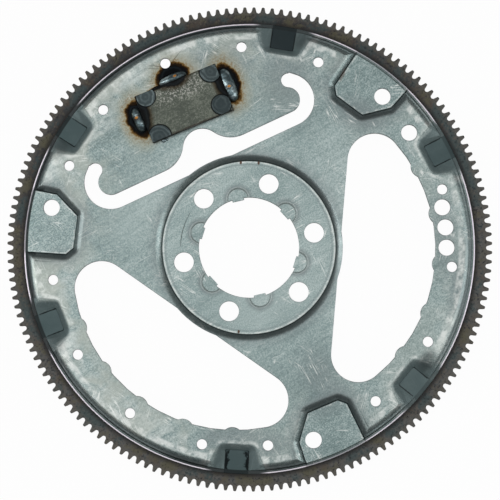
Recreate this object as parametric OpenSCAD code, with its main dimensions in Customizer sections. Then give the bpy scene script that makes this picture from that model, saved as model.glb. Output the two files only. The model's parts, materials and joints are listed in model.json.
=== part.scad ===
// Flexplate: a stamped drive plate with a welded ring gear and a welded balance weight.
// The axis is Z and the back face of the ring gear lies on z = 0.
// +Y passes through the crank bolt hole that faces the offset index hole.

/* [Ring gear] */
// Pitch diameter of the gear
gear_pitch_d = 347.13; // [315:0.01:385]
// Number of teeth
tooth_count = 164; // [140:1:180]
// Angle of the tooth flanks
pressure_angle = 14.5; // [12:0.5:22]
// Play on each flank of a tooth, at the pitch circle
tooth_play = 0.2; // [0:0.05:0.3]
// Width of the gear along its axis
gear_w = 9.5; // [7:0.1:14]
// Depth of the gear from the tips of its teeth in to its bore
gear_depth = 21.8; // [18:0.1:26]
// Width of the gear's face that shows between the plate and the roots of the teeth
gear_face_w = 8.3; // [5:0.1:10]

/* [Stamped sheet] */
// Thickness of the sheet
sheet_t = 3; // [2:0.1:4]
// Flat width of the rim flange over the gear
rim_flange_w = 2.5; // [1.5:0.1:4]
// Clearance of the rim flange above the gear, which only the lands touch
rim_lift = 0.1; // [0.05:0.05:0.5]
// Rise from the weld lands up to the web
rim_step = 5; // [3.5:0.1:5.8]
// Outside radius of the roll at the rim
rim_roll_r = 6; // [6:0.1:9]

/* [Hub] */
// Bolt circle of the crank bolts
crank_pcd = 96.4; // [86:0.1:104]
// Diameter of a crank bolt hole
crank_hole_d = 14.3; // [11:0.1:15]
// Turn of the index hole away from its even place
index_turn = 5.5; // [0:0.1:8]
// Metal between a crank bolt hole and the centre bore
bore_wall = 4.8; // [3.5:0.1:7]
// Metal between a crank bolt hole and the foot of the step round the hub
hub_wall = 7.2; // [5:0.1:9]
// Drop from the web down to the hub seat
hub_step = 3.5; // [2:0.1:5]
// Outside radius of the roll round the hub
hub_roll_r = 8; // [6:0.1:10]

/* [Pilot tabs] */
// Number of staked tabs round the bore
tab_count = 6; // [3:1:6]
// Radius of a half-round tab
tab_r = 7.2; // [5:0.1:8]
// Depth to which a tab is pressed
tab_drop = 1.6; // [0.8:0.1:2]
// Reach of a tab into the bore
tab_reach = 1.7; // [0.5:0.1:3]
// Width of the tip of a tab
tab_tip_w = 8.6; // [5:0.1:10]
// Radius of the worn edge round a tab
tab_edge_r = 1.2; // [0.5:0.1:1.5]

/* [Converter pads] */
// Distance of the converter bolts' circle in from the plate's rim
converter_inset = 16.95; // [15:0.05:19]
// Diameter of a converter bolt hole
converter_hole_d = 11.9; // [9:0.1:13]
// Angle of the first pad from +X
pad_angle = 5.8; // [0:0.1:10]
// Drop from the web down to a pad
pad_step = 4.2; // [3:0.1:4.9]
// Outside radius of the roll round a pad
pad_roll_r = 7; // [5.5:0.1:8]
// Corner radius of a pad
pad_corner_r = 1.8; // [0.8:0.1:4]
// Reach of a pad from its bolt hole towards the hub
pad_depth = 21.5; // [18:0.1:24]
// Reach of a pad from its bolt hole to the clockwise side
pad_short_w = 10; // [8:0.1:14]
// Reach of a pad from its bolt hole to the anticlockwise side
pad_long_w = 36.5; // [30:0.1:40]

/* [Weld lands] */
// Angles of the two lands from the pad's hole
land_angles = [-21.8, 32.2]; // [-40:0.1:40]
// Flat width of a land
land_w = 16.6; // [12:0.1:22]
// Distance of a land's inner end from the rim of the plate
land_depth = 17; // [13:0.5:20]
// Spread of a land's ramps at its inner end
land_spread_in = 4.8; // [3:0.1:7]
// Spread of a land's ramps past the rim
land_spread_out = 18; // [12:0.1:20]
// Angle by which the sheet bends where a land's flared ramp has its middle width
land_bend = 36; // [28:1:45]
// Outside radius of the roll round a land
land_roll_r = 4.6; // [4.2:0.1:7]

/* [Windows] */
// Angle of a window's middle from its pad's hole
window_angle = 66.5; // [64:0.1:69]
// Distance of the straight inner edge out from the hub seat
window_gap = 2.9; // [1:0.1:5]
// Distance of the outer edge in from the plate's rim
window_inset = 28.7; // [26:0.1:33]
// Distance between the centres of the two round ends
window_span = 140.6; // [130:0.2:144]
// Radius of the round ends
window_end_r = 19.5; // [16:0.1:22]
// Width of the rim left round the hub seat where the windows meet it
hub_rim_w = 5.1; // [4:0.1:8]
// Number of small bosses along the outer edge
boss_count = 5; // [1:2:7]
// Angle between neighbouring bosses
boss_pitch = 15; // [10:0.5:16]
// Radius of a boss
boss_r = 8; // [5:0.1:10]
// Height of a boss
boss_h = 2.1; // [1:0.1:3]

/* [Tongue] */
// Width of the hooked slot round the tongue
slot_w = 10.3; // [8:0.1:13]
// Angle at which the slot's hooks end
slot_tip_angle = 28; // [10:1:60]
// Depth of the round notch in the tongue
notch_h = 17.8; // [12:0.1:18]
// Radius at the top of the notch
notch_r = 14; // [10:0.1:16]
// Half the length of the notch along the tongue's edge
notch_half = 31; // [26:0.5:36]

/* [Rim holes] */
// Diameter of a small rim hole
small_hole_d = 7.4; // [5:0.1:9]
// Diameter of a large rim hole
large_hole_d = 11.6; // [9:0.1:12]
// Distance of the large rim holes in from the plate's rim
large_hole_inset = 20.9; // [19:0.1:22]
// Angle between the three large holes that stand in a row
large_hole_pitch = 5.9; // [5.5:0.05:7]

/* [Balance weight] */
// Length of the weight across the tongue
weight_l = 63; // [50:0.5:70]
// Width of the weight from the hub side to the rim side
weight_w = 36; // [28:0.5:36.5]
// Thickness of the weight
weight_t = 6; // [6:0.1:9]
// Distance between the notch and the weight
weight_gap = 2.2; // [0:0.1:5]
// Sideways shift of the weight from the tongue's middle
weight_shift = -1.6; // [-5:0.1:5]
// Turn of the weight on the tongue
weight_turn = -2.7; // [-6:0.1:6]
// Radius of a weld bead
bead_r = 5.8; // [4:0.1:5.9]
// Length of the bead on the left end
bead_left_l = 18; // [14:0.5:26]
// Length of the bead on the rim-side edge
bead_top_l = 21; // [14:0.5:30]
// Length of the bead on the right end
bead_right_l = 24; // [14:0.5:28]

/* [Hidden] */
$fn = 96;

// Heights of the upper faces
land_z = gear_w + sheet_t;
flange_z = land_z + rim_lift;
web_z = land_z + rim_step;
rim_rise = web_z - flange_z;
hub_z = web_z - hub_step;
pad_z = web_z - pad_step;

// Tooth proportions from the pitch diameter and the number of teeth
pitch_r = gear_pitch_d / 2;
addendum = gear_pitch_d / tooth_count;
dedendum = 1.0625 * addendum;
tip_r = pitch_r + addendum;
root_r = pitch_r - dedendum;
gear_bore_r = tip_r - gear_depth;
tooth_pitch = PI * gear_pitch_d / tooth_count;
tip_round = 0.18 * addendum;
root_round = 0.42 * addendum;

// Radii of the plate
plate_r = root_r - gear_face_w;
rim_r = plate_r - rim_flange_w;
converter_r = plate_r - converter_inset;
crank_r = crank_pcd / 2;
bore_r = crank_r - crank_hole_d / 2 - bore_wall;
hub_r = crank_r + crank_hole_d / 2 + hub_wall;
past_rim_r = plate_r + gear_face_w;

// Three-fold pattern of pads, lands and windows
sectors = 3;
sector_angle = 360 / sectors;

// Crank bolts: an even ring of six, with the one at -Y turned away
crank_count = 6;
index_place = 270;

// Small rim holes in each sector: angle from the pad's hole, and distance in from the rim
small_holes = [[20.9, 19.9], [43.6, 17.7], [65.9, 16.4], [88.1, 17.7], [107, 20.2]];
// Sector whose last small hole is large, and angle of the row of three
large_last_sector = 2;
large_row_angle = -37;
large_row = [-1, 0, 1];

// Corners of a pad from its bolt hole: outward and anticlockwise distances
pad_end = past_rim_r - converter_r;
pad_corners = [
    [pad_end, -pad_short_w], [pad_end, pad_long_w],
    [4.5 - pad_depth, pad_long_w - 5.5], [-pad_depth, pad_long_w - 11],
    [1.9 - pad_depth, 2.2], [-2, -pad_short_w]
];

// Corners of a land: the flat, and the upper edge of its ramps
land_in = plate_r - land_depth;
land_half = land_w / 2;
land_flat_corner_r = 1.5;
land_top_corner_r = 6;
land_flat = [
    [land_in, -land_half], [past_rim_r, -land_half],
    [past_rim_r, land_half], [land_in, land_half]
];
land_top = [
    [land_in - land_spread_in, -land_half - land_spread_in],
    [past_rim_r, -land_half - land_spread_out],
    [past_rim_r, land_half + land_spread_out],
    [land_in - land_spread_in, land_half + land_spread_in]
];

// Fineness of rolls, creases and corners
roll_steps = 6;
round_roll_steps = 8;
land_roll_steps = 4;
crease_steps = 2;
corner_steps = 2;
arc_step = 7;
// Small depth by which formed faces cross the flat ones they run out on
run_out = 0.05;
// Margin by which cutting forms pass the faces they cut
cut_margin = 2;

// Window outline: the outer arc touches both round ends
window_in = hub_r + window_gap;
window_out = plate_r - window_inset;
window_half = window_span / 2;
window_end_at = window_in + window_end_r;
window_far = window_out - window_end_r;
window_arc_at = (window_far + window_end_at - window_half ^ 2 / (window_far - window_end_at)) / 2;
window_arc_r = window_out - window_arc_at;
window_arc_angle = atan2(window_half, window_end_at - window_arc_at);

// Tongue outline: its round ends share their centres with the window's
tongue_end_r = window_end_r - slot_w;
tongue_in = window_in + slot_w;
notch_at = tongue_in + notch_h - notch_r;
notch_lift = notch_r - notch_h;
notch_side_r = (notch_lift ^ 2 + notch_half ^ 2 - notch_r ^ 2) / (2 * (notch_r - notch_lift));
notch_side_at = tongue_in + notch_side_r;
notch_turn = atan2(notch_half, notch_at - notch_side_at);

// Balance weight, just outside the notch
weight_at = tongue_in + notch_h + weight_gap + weight_w / 2;

// Weld beads: shift along the edge of the weight that carries them
bead_left_shift = 1.6;
bead_top_shift = 2.2;
bead_right_shift = 0;

// Points along an arc from one angle to another
function arc(centre, radius, from, to) =
    let (n = ceil(abs(to - from) / arc_step))
    [for (i = [0:n]) let (a = from + (to - from) * i / n) centre + radius * [cos(a), sin(a)]];

function reversed(list) = [for (i = [len(list) - 1:-1:0]) list[i]];
function unit(v) = v / norm(v);
function outward(from, to) = let (d = unit(to - from)) [d[1], -d[0]];

// A convex outline, anticlockwise, with each corner rounded, and widened by a reach
function rounded(corners, radius, reach = 0) =
    let (n = len(corners))
    [for (i = [0:n - 1])
        let (
            here = corners[i],
            n1 = outward(corners[(i + n - 1) % n], here),
            n2 = outward(here, corners[(i + 1) % n]),
            centre = here - radius * (n1 + n2) / (1 + n1 * n2),
            from = atan2(n1[1], n1[0]),
            turn = atan2(cross(n1, n2), n1 * n2)
        )
        for (k = [0:corner_steps])
            let (a = from + turn * k / corner_steps)
            centre + (radius + reach) * [cos(a), sin(a)]];

// A drawn step in the sheet: a sharp crease at the low flat and a wide roll at the high one.
// Each point is a distance from the crease and a height above the low flat.
function step_angle(height, roll) = acos(1 - height / roll);
function step_reach(height, roll) = roll * sin(step_angle(height, roll));
function step_top(height, roll, steps) =
    [for (i = [0:steps])
        let (a = step_angle(height, roll) * (1 - i / steps))
        [step_reach(height, roll) - roll * sin(a), height - roll + roll * cos(a)]];
function step_under(height, roll, steps) = concat(
    [for (i = [0:crease_steps])
        let (a = step_angle(height, roll) * i / crease_steps)
        [sheet_t * sin(a), -sheet_t * cos(a)]],
    [for (i = [1:steps])
        let (a = step_angle(height, roll) * (1 - i / steps))
        [step_reach(height, roll) - (roll - sheet_t) * sin(a),
         height - roll + (roll - sheet_t) * cos(a)]]);

// A flared ramp in the sheet: a sharp crease at the low flat, a straight ramp and a tight roll at the high one
function ramp_reach(height, roll) =
    roll * sin(land_bend) + (height - roll * (1 - cos(land_bend))) / tan(land_bend);
function ramp_top(height, roll) = concat(
    [[0, 0]],
    [for (i = [0:land_roll_steps])
        let (a = land_bend * (1 - i / land_roll_steps))
        [ramp_reach(height, roll) - roll * sin(a), height - roll + roll * cos(a)]]);
function ramp_under(height, roll) = concat(
    [for (i = [0:crease_steps])
        let (a = land_bend * i / crease_steps)
        [sheet_t * sin(a), -sheet_t * cos(a)]],
    [for (i = [0:land_roll_steps])
        let (a = land_bend * (1 - i / land_roll_steps))
        [ramp_reach(height, roll) - (roll - sheet_t) * sin(a),
         height - roll + (roll - sheet_t) * cos(a)]]);

// Upper side of the plate in section, from the axis to the rim
function section_top() = concat(
    [[0, hub_z]],
    [for (p = step_top(hub_step, hub_roll_r, round_roll_steps)) [hub_r + p[0], hub_z + p[1]]],
    [for (p = reversed(step_top(rim_rise, rim_roll_r, round_roll_steps))) [rim_r - p[0], flange_z + p[1]]]);
// Under side of the plate in section, from the axis to the rim
function section_under() = concat(
    [[0, hub_z - sheet_t]],
    [for (p = step_under(hub_step, hub_roll_r, round_roll_steps)) [hub_r + p[0], hub_z + p[1]]],
    [for (p = reversed(step_under(rim_rise, rim_roll_r, round_roll_steps))) [rim_r - p[0], flange_z + p[1]]]);

module each_sector() {
    for (k = [0:sectors - 1])
        rotate(pad_angle + k * sector_angle)
            children();
}

// A solid lofted between two outlines: each path point is a share of the way and a height
module lofted(low, high, path) {
    n = len(low);
    m = len(path);
    points = [for (p = path) for (i = [0:n - 1])
        let (q = low[i] + (high[i] - low[i]) * p[0]) [q[0], q[1], p[1]]];
    sides = [for (j = [0:m - 2]) for (i = [0:n - 1])
        let (next = (i + 1) % n)
        [j * n + i, (j + 1) * n + i, (j + 1) * n + next, j * n + next]];
    floor_face = [for (i = [0:n - 1]) i];
    roof_face = [for (i = [n - 1:-1:0]) (m - 1) * n + i];
    polyhedron(points, concat([floor_face], sides, [roof_face]), convexity = 4);
}

// Space above a pressed-down flat, up past the web, along a section from its crease to the web
module pressed_top(low, high, height, section) {
    reach = section[len(section) - 1][0];
    squeeze = (height - run_out) / height;
    path = [for (p = section) [p[0] / reach, p[1] * squeeze]];
    lofted(low, high, concat(path, [[1, height + cut_margin]]));
}

// Form of a pressed-down flat below the web, up into the web, along a section under the sheet
module pressed_under(low, high, height, section) {
    reach = section[len(section) - 1][0];
    stretch = (height + run_out) / height;
    path = [for (p = section) [p[0] / reach, (p[1] + sheet_t) * stretch - sheet_t]];
    lofted(low, high, concat(path, [[1, height - sheet_t / 2]]));
}

// Pressed-down converter pads: the space above them, or their form below the web
module pads(under) {
    reach = step_reach(pad_step, pad_roll_r);
    low = rounded(pad_corners, pad_corner_r);
    high = rounded(pad_corners, pad_corner_r, reach);
    each_sector()
        translate([converter_r, 0, pad_z])
            if (under)
                pressed_under(low, high, pad_step, step_under(pad_step, pad_roll_r, roll_steps));
            else
                pressed_top(low, high, pad_step, step_top(pad_step, pad_roll_r, roll_steps));
}

// Pressed-down weld lands: the space above them, or their form below the web
module lands(under) {
    low = rounded(land_flat, land_flat_corner_r);
    high = rounded(land_top, land_top_corner_r);
    each_sector()
        for (a = land_angles)
            rotate(a)
                translate([0, 0, land_z])
                    if (under)
                        pressed_under(low, high, rim_step, ramp_under(rim_step, land_roll_r));
                    else
                        pressed_top(low, high, rim_step, ramp_top(rim_step, land_roll_r));
}

// Round recess of a staked tab, with a rolled upper edge
module tab_recess() {
    edge = [for (i = [0:3])
        let (a = 30 * i)
        [tab_r + tab_edge_r * (1 - cos(a)), hub_z - run_out - tab_edge_r * (1 - sin(a))]];
    rotate_extrude()
        polygon(concat(
            [[0, hub_z - tab_drop], [tab_r, hub_z - tab_drop]],
            edge,
            [[tab_r + tab_edge_r, hub_z + cut_margin], [0, hub_z + cut_margin]]));
}

module tab_boss() {
    translate([0, 0, hub_z - sheet_t - tab_drop])
        cylinder(r = tab_r, h = tab_drop + sheet_t / 2);
}

module each_tab() {
    for (k = [0:tab_count - 1])
        rotate(k * 360 / tab_count)
            translate([bore_r, 0, 0])
                children();
}

// Everything under the upper face of the sheet
module upper_form() {
    difference() {
        rotate_extrude()
            polygon(concat(
                [[0, gear_w - cut_margin]],
                section_top(),
                [[plate_r, flange_z], [plate_r, gear_w - cut_margin]]));
        pads(under = false);
        lands(under = false);
        each_tab() tab_recess();
    }
}

// Everything under the lower face of the sheet
module lower_form() {
    difference() {
        rotate_extrude()
            polygon(concat(
                [[0, gear_w - 2 * cut_margin]],
                section_under(),
                [[past_rim_r, flange_z - sheet_t], [past_rim_r, gear_w - 2 * cut_margin]]));
        pads(under = true);
        lands(under = true);
        each_tab() tab_boss();
    }
}

// Window outline, with its middle on +X
module window_outline() {
    polygon(concat(
        arc([window_end_at, -window_half], window_end_r, 180, 360 - window_arc_angle),
        arc([window_arc_at, 0], window_arc_r, -window_arc_angle, window_arc_angle),
        arc([window_end_at, window_half], window_end_r, window_arc_angle, 180)));
}

// Distance of the window's outer edge from the axis at an angle from its middle
function window_edge(angle) =
    window_arc_at * cos(angle) + sqrt(window_arc_r ^ 2 - (window_arc_at * sin(angle)) ^ 2);

module window_bosses() {
    for (i = [0:boss_count - 1]) {
        a = (i - (boss_count - 1) / 2) * boss_pitch;
        rotate(a)
            translate([window_edge(a) + boss_r - boss_h, 0])
                circle(boss_r);
    }
}

module hub_rim() {
    circle(hub_r + hub_rim_w);
}

module window() {
    difference() {
        window_outline();
        hub_rim();
        window_bosses();
    }
}

// Material that fills the window behind the hooked slot
module tongue() {
    far = 2 * window_end_r * [cos(slot_tip_angle), sin(slot_tip_angle)];
    end = [window_end_at, window_half];
    mirrored = [end[0], -end[1]];
    difference() {
        union() {
            polygon([
                [tongue_in, -window_half], mirrored, mirrored + [far[0], -far[1]],
                [past_rim_r, 0], end + far, end, [tongue_in, window_half]
            ]);
            translate(end)
                circle(tongue_end_r);
            translate(mirrored)
                circle(tongue_end_r);
        }
        polygon(concat(
            [[tongue_in - cut_margin, -notch_half]],
            arc([notch_side_at, -notch_half], notch_side_r, 180, notch_turn),
            arc([notch_at, 0], notch_r, notch_turn - 180, 180 - notch_turn),
            arc([notch_side_at, notch_half], notch_side_r, -notch_turn, -180),
            [[tongue_in - cut_margin, notch_half]]));
    }
}

module hooked_slot() {
    tip_at = window_end_r - slot_w / 2;
    difference() {
        window_outline();
        hub_rim();
        tongue();
    }
    for (side = [-1, 1])
        translate([
            window_end_at + tip_at * cos(slot_tip_angle),
            side * (window_half + tip_at * sin(slot_tip_angle))
        ])
            circle(d = slot_w);
}

// Centre bore with the tips of the staked tabs left standing
module bore_outline() {
    difference() {
        circle(bore_r);
        for (k = [0:tab_count - 1])
            rotate(k * 360 / tab_count)
                translate([bore_r - tab_reach, -tab_tip_w / 2])
                    square([2 * tab_reach, tab_tip_w]);
    }
}

module plate_cuts() {
    rotate(pad_angle + window_angle)
        hooked_slot();
    for (k = [1:sectors - 1])
        rotate(pad_angle + window_angle + k * sector_angle)
            window();
    bore_outline();
}

// Round holes, drilled along the axis
module drilled(radius, angle, d) {
    rotate(angle)
        translate([radius, 0, 0])
            cylinder(d = d, h = web_z + cut_margin);
}

module plate_holes() {
    for (k = [0:crank_count - 1]) {
        place = 30 + k * 360 / crank_count;
        drilled(crank_r, place == index_place ? place + index_turn : place, crank_hole_d);
    }
    for (k = [0:sectors - 1]) {
        sector = pad_angle + k * sector_angle;
        last = len(small_holes) - 1;
        drilled(converter_r, sector, converter_hole_d);
        for (i = [0:last])
            if (i == last && k == large_last_sector)
                drilled(plate_r - large_hole_inset, sector + small_holes[i][0], large_hole_d);
            else
                drilled(plate_r - small_holes[i][1], sector + small_holes[i][0], small_hole_d);
    }
    for (i = large_row)
        drilled(plate_r - large_hole_inset, large_row_angle + i * large_hole_pitch, large_hole_d);
}

module stamped_plate() {
    color([0.60, 0.64, 0.63])
        difference() {
            upper_form();
            lower_form();
            linear_extrude(web_z + cut_margin)
                plate_cuts();
            plate_holes();
        }
}

// Half the thickness of a tooth at a radius, as an angle
function tooth_half(radius) =
    (tooth_pitch / 4 - tooth_play - (radius - pitch_r) * tan(pressure_angle)) / radius * 180 / PI;
// One flank, from the bottom of the gap to the tip: radius and angle from the tooth's middle
function tooth_flank() =
    let (gap = 180 / tooth_count, foot = tooth_half(root_r + root_round))
    [
        [root_r, gap],
        [root_r + root_round * 0.3, foot + (gap - foot) * 0.45],
        [root_r + root_round, foot],
        [tip_r - tip_round, tooth_half(tip_r - tip_round)],
        [tip_r, tooth_half(tip_r) * 0.7]
    ];

module ring_gear() {
    flank = tooth_flank();
    last = len(flank) - 1;
    one_tooth = concat(
        [for (i = [0:last]) [flank[i][0], -flank[i][1]]],
        [for (i = [last:-1:1]) flank[i]]);
    outline = [for (k = [0:tooth_count - 1]) for (p = one_tooth)
        let (a = k * 360 / tooth_count + p[1]) p[0] * [cos(a), sin(a)]];
    color([0.27, 0.24, 0.21])
        linear_extrude(gear_w)
            difference() {
                polygon(outline);
                circle(gear_bore_r);
            }
}

// Places its child on the tongue, with +X towards the rim and z = 0 on the web
module on_tongue() {
    rotate(pad_angle + window_angle)
        translate([weight_at, weight_shift, web_z])
            rotate(weight_turn)
                children();
}

module balance_weight() {
    color([0.42, 0.39, 0.35])
        on_tongue()
            translate([-weight_w / 2, -weight_l / 2, 0])
                cube([weight_w, weight_l, weight_t]);
}

// Weld bead in the corner between the web and an upright face, which stands at x = 0
module weld_bead(length) {
    straight = length - 2 * bead_r;
    color([0.45, 0.50, 0.53])
        intersection() {
            union() {
                translate([0, straight / 2, 0])
                    rotate([90, 0, 0])
                        cylinder(r = bead_r, h = straight);
                for (side = [-1, 1])
                    translate([0, side * straight / 2, 0])
                        sphere(bead_r);
            }
            translate([0, -length, 0])
                cube([length, 2 * length, length]);
        }
}

module weight_weld_left_end() {
    on_tongue()
        translate([bead_left_shift, weight_l / 2, 0])
            rotate(90)
                weld_bead(bead_left_l);
}

module weight_weld_top_edge() {
    on_tongue()
        translate([weight_w / 2, bead_top_shift, 0])
            weld_bead(bead_top_l);
}

module weight_weld_right_end() {
    on_tongue()
        translate([bead_right_shift, -weight_l / 2, 0])
            rotate(-90)
                weld_bead(bead_right_l);
}

stamped_plate();
ring_gear();
balance_weight();
weight_weld_left_end();
weight_weld_top_edge();
weight_weld_right_end();
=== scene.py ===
"""Flexplate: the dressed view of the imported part, in the part's own frame.

Sizes in the classes are millimetres and angles are degrees, unless a docstring says otherwise.
"""

from __future__ import annotations

import json
import logging
import math
from dataclasses import dataclass, replace
from enum import Enum
from functools import reduce
from typing import Any, Union

import bmesh
import bpy
from mathutils import Euler, Matrix, Vector

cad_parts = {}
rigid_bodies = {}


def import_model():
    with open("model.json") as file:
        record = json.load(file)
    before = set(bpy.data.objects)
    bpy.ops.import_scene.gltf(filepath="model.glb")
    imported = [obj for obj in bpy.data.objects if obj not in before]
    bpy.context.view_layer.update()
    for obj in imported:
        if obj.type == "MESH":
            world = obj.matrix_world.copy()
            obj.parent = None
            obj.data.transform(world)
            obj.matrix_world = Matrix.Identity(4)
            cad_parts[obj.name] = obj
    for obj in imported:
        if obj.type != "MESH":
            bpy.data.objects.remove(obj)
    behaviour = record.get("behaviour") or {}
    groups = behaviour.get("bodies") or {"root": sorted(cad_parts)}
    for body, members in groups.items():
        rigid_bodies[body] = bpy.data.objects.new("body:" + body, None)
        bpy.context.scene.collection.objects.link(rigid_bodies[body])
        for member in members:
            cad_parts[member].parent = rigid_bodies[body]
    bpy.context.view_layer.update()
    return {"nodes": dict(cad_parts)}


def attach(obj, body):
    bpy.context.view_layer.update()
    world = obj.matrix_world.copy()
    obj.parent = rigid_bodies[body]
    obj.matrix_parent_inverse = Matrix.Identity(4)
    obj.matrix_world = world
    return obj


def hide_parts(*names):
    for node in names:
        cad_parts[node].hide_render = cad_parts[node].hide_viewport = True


LOG = logging.getLogger("flexplate")
MM = 0.001
BODY = "root"

Colour = tuple[float, float, float]
Span = tuple[float, float]
Stripe = tuple[float, float, float]
Stops = tuple[tuple[float, Colour], ...]
Value = Union["Num", float]

NOISE_MEAN = 0.5
UPRIGHT_RISE: Span = (0.1, 0.3)
# Numbers of a Mix node's colour sockets.
MIX_FACTOR, MIX_LOW, MIX_HIGH, MIX_RESULT = 0, 6, 7, 2


class Op(Enum):
    """What a Math node does."""

    ADD = "ADD"
    SUBTRACT = "SUBTRACT"
    MULTIPLY = "MULTIPLY"
    DIVIDE = "DIVIDE"
    POWER = "POWER"
    SIZE = "ABSOLUTE"
    LEAST = "MINIMUM"
    MOST = "MAXIMUM"
    SINE = "SINE"
    COSINE = "COSINE"
    ANGLE = "ARCTAN2"
    REMAINDER = "FLOORED_MODULO"


class Num:
    """A float socket with Python's operators: each use adds one Math node."""

    def __init__(self, graph: Graph, socket: bpy.types.NodeSocket) -> None:
        """Wraps a socket of the graph."""
        self.graph = graph
        self.socket = socket

    def __add__(self, other: Value) -> Num:
        """Sum of the two values."""
        return self.graph.math(Op.ADD, self, other)

    __radd__ = __add__

    def __sub__(self, other: Value) -> Num:
        """This value less the other."""
        return self.graph.math(Op.SUBTRACT, self, other)

    def __rsub__(self, other: Value) -> Num:
        """The other value less this one."""
        return self.graph.math(Op.SUBTRACT, other, self)

    def __mul__(self, other: Value) -> Num:
        """Product of the two values."""
        return self.graph.math(Op.MULTIPLY, self, other)

    __rmul__ = __mul__

    def __truediv__(self, other: Value) -> Num:
        """This value divided by the other."""
        return self.graph.math(Op.DIVIDE, self, other)

    def __rtruediv__(self, other: Value) -> Num:
        """The other value divided by this one."""
        return self.graph.math(Op.DIVIDE, other, self)

    def __pow__(self, other: Value) -> Num:
        """This value to a power."""
        return self.graph.math(Op.POWER, self, other)

    def __abs__(self) -> Num:
        """Size of the value without its sign."""
        return self.graph.math(Op.SIZE, self)

    def least(self, other: Value) -> Num:
        """The smaller of the two values."""
        return self.graph.math(Op.LEAST, self, other)

    def most(self, other: Value) -> Num:
        """The larger of the two values."""
        return self.graph.math(Op.MOST, self, other)

    def swing(self, amount: float) -> Num:
        """A noise's swing about its mean, made larger or smaller."""
        return (self - NOISE_MEAN) * amount

    def between(self, low: float, high: float) -> Num:
        """The value this share of the way from one value to another."""
        return self * (high - low) + low

    def ramp(self, low: float, high: float) -> Num:
        """Smooth rise from 0 to 1 between two values.

        Args:
            low: Value at which the rise starts.
            high: Value at which it ends.

        Returns:
            The rise, held at 0 and 1 outside the two values.
        """
        node = self.graph.node(
            "ShaderNodeMapRange",
            {"interpolation_type": "SMOOTHSTEP"},
            {"Value": self, "From Min": low, "From Max": high},
        )
        return Num(self.graph, node.outputs["Result"])

    def fade(self, low: float, high: float) -> Num:
        """Smooth fall from 1 to 0 between two values."""
        return 1 - self.ramp(low, high)

    def band(self, centre: float, half: float, soft: float) -> Num:
        """A stripe of 1 round a centre value, with soft sides.

        Args:
            centre: Value at the stripe's middle.
            half: Half the width of the full stripe.
            soft: Width over which each side fades.

        Returns:
            The stripe as a mask.
        """
        return abs(self - centre).fade(half, half + soft)


@dataclass(frozen=True)
class Noise:
    """Recipe of a cloudy noise.

    It holds the clouds' size, the number and strength of the finer octaves, how far the noise
    distorts itself, the streaks' direction, length over width and offset, and the values
    between which a mask made from it rises.
    """

    size: float
    detail: float = 3.0
    rough: float = 0.5
    warp: float = 0.0
    turn: float = 0.0
    longer: float = 1.0
    shift: float = 0.0
    rise: Span = (0.4, 0.6)


@dataclass(frozen=True)
class Spot:
    """A round or oval mark: its middle, half lengths, turn and strength."""

    x: float
    y: float
    long: float
    wide: float
    turn: float = 0.0
    strength: float = 1.0


@dataclass(frozen=True)
class Coat:
    """One layer of a finish. Without a roughness or metal share it keeps what is below."""

    colour: Any
    rough: float | None = None
    metal: float | None = None
    strength: float = 1.0


@dataclass(frozen=True)
class Metal:
    """A bare metal: roughness, how far flecks change it, metal share and depth of relief."""

    rough: float
    rough_swing: float
    metal: float
    relief: float


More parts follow.
